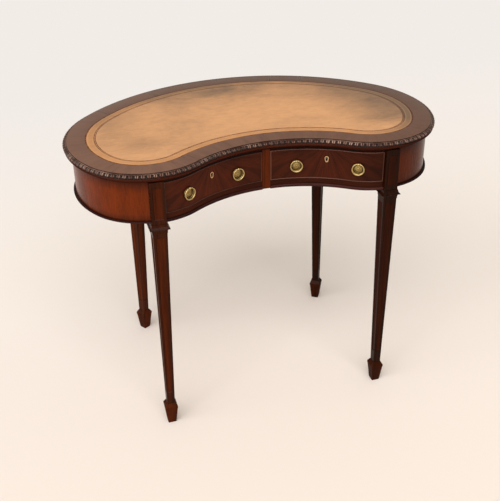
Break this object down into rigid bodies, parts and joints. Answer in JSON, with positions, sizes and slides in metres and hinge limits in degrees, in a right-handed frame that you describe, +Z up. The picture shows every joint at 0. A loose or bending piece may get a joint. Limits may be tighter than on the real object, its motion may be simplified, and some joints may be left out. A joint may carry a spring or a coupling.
{
  "type": "kidney shaped desk",
  "caption": "Kidney shaped writing desk with a leather top, crossbanded border, carved edge, bowed drawers with ring pulls and locks, and tapered square legs on spade feet.",
  "frame": {"origin": "on the floor under the middle of the desk's bounding box", "axes": "+Z up, the drawers face -Y where the user sits, +X to the right of someone who stands in front of the drawers"},
  "size_m": [0.9742, 0.6036, 0.76],
  "materials": {
    "board_wood": "unpolished secondary wood",
    "crossbanding": "polished purple-brown veneer laid across the grain",
    "writing_leather": "tan leather, lightly worn, with a gilt and dark tooled border",
    "carved_wood": "dark stained and polished carving",
    "frieze_veneer": "polished orange-red mahogany veneer",
    "dark_rail_wood": "dark polished mahogany",
    "leg_wood": "very dark polished mahogany",
    "runner_wood": "unpolished secondary wood",
    "drawer_veneer": "polished flame-figured mahogany veneer",
    "drawer_lining_wood": "unpolished secondary wood",
    "lock_steel": "dull steel",
    "brass": "aged polished brass"
  },
  "bodies": {
    "desk": {"top_board": "board_wood", "top_crossbanding": "crossbanding", "leather_writing_surface": "writing_leather", "carved_edge_moulding": "carved_wood", "top_under_moulding": "carved_wood", "end_frieze_left": "frieze_veneer", "end_frieze_right": "frieze_veneer", "back_frieze": "frieze_veneer", "end_base_moulding_left": "dark_rail_wood", "end_base_moulding_right": "dark_rail_wood", "back_base_moulding": "dark_rail_wood", "front_base_moulding": "dark_rail_wood", "drawer_bottom_rail": "dark_rail_wood", "drawer_top_rail": "dark_rail_wood", "centre_divider": "frieze_veneer", "leg_front_left": "leg_wood", "leg_collar_front_left": "leg_wood", "spade_foot_front_left": "leg_wood", "leg_front_right": "leg_wood", "leg_collar_front_right": "leg_wood", "spade_foot_front_right": "leg_wood", "leg_rear_left": "leg_wood", "leg_collar_rear_left": "leg_wood", "spade_foot_rear_left": "leg_wood", "leg_rear_right": "leg_wood", "leg_collar_rear_right": "leg_wood", "spade_foot_rear_right": "leg_wood", "inner_runner_left": "runner_wood", "outer_runner_left": "runner_wood", "drawer_stop_left": "runner_wood", "inner_runner_right": "runner_wood", "outer_runner_right": "runner_wood", "drawer_stop_right": "runner_wood"},
    "drawer_left": {"drawer_front_left": "drawer_veneer", "cockbead_left": "drawer_veneer", "drawer_side_inner_left": "drawer_lining_wood", "drawer_side_outer_left": "drawer_lining_wood", "drawer_bottom_left": "drawer_lining_wood", "drawer_back_left": "drawer_lining_wood", "lock_case_left": "lock_steel", "escutcheon_left": "brass", "pull_plate_inner_left": "brass", "pull_plate_outer_left": "brass"},
    "drawer_right": {"drawer_front_right": "drawer_veneer", "cockbead_right": "drawer_veneer", "drawer_side_inner_right": "drawer_lining_wood", "drawer_side_outer_right": "drawer_lining_wood", "drawer_bottom_right": "drawer_lining_wood", "drawer_back_right": "drawer_lining_wood", "lock_case_right": "lock_steel", "escutcheon_right": "brass", "pull_plate_inner_right": "brass", "pull_plate_outer_right": "brass"},
    "ring_inner_left": {"pull_ring_inner_left": "brass"},
    "ring_outer_left": {"pull_ring_outer_left": "brass"},
    "ring_inner_right": {"pull_ring_inner_right": "brass"},
    "ring_outer_right": {"pull_ring_outer_right": "brass"},
    "bolt_left": {"lock_bolt_left": "brass"},
    "bolt_right": {"lock_bolt_right": "brass"}
  },
  "joints": [
    {"name": "drawer_left_slide", "type": "slide", "parent": "desk", "child": "drawer_left", "axis": [0, -1, 0], "range_m": [0, 0.25]},
    {"name": "drawer_right_slide", "type": "slide", "parent": "desk", "child": "drawer_right", "axis": [0, -1, 0], "range_m": [0, 0.25]},
    {"name": "ring_inner_left_swing", "type": "hinge", "parent": "drawer_left", "child": "ring_inner_left", "pos_m": [-0.07609, -0.20105, 0.69635], "axis": [-0.9734, -0.2291, 0], "range_deg": [0, 120]},
    {"name": "ring_outer_left_swing", "type": "hinge", "parent": "drawer_left", "child": "ring_outer_left", "pos_m": [-0.21544, -0.26765, 0.69635], "axis": [-0.8795, -0.4759, 0], "range_deg": [0, 120]},
    {"name": "ring_inner_right_swing", "type": "hinge", "parent": "drawer_right", "child": "ring_inner_right", "pos_m": [0.07609, -0.20105, 0.69635], "axis": [-0.9734, 0.2291, 0], "range_deg": [0, 120]},
    {"name": "ring_outer_right_swing", "type": "hinge", "parent": "drawer_right", "child": "ring_outer_right", "pos_m": [0.21544, -0.26765, 0.69635], "axis": [-0.8795, 0.4759, 0], "range_deg": [0, 120]},
    {"name": "bolt_left_throw", "type": "slide", "parent": "drawer_left", "child": "bolt_left", "axis": [0, 0, 1], "range_m": [0, 0.005]},
    {"name": "bolt_right_throw", "type": "slide", "parent": "drawer_right", "child": "bolt_right", "axis": [0, 0, 1], "range_m": [0, 0.005]}
  ]
}
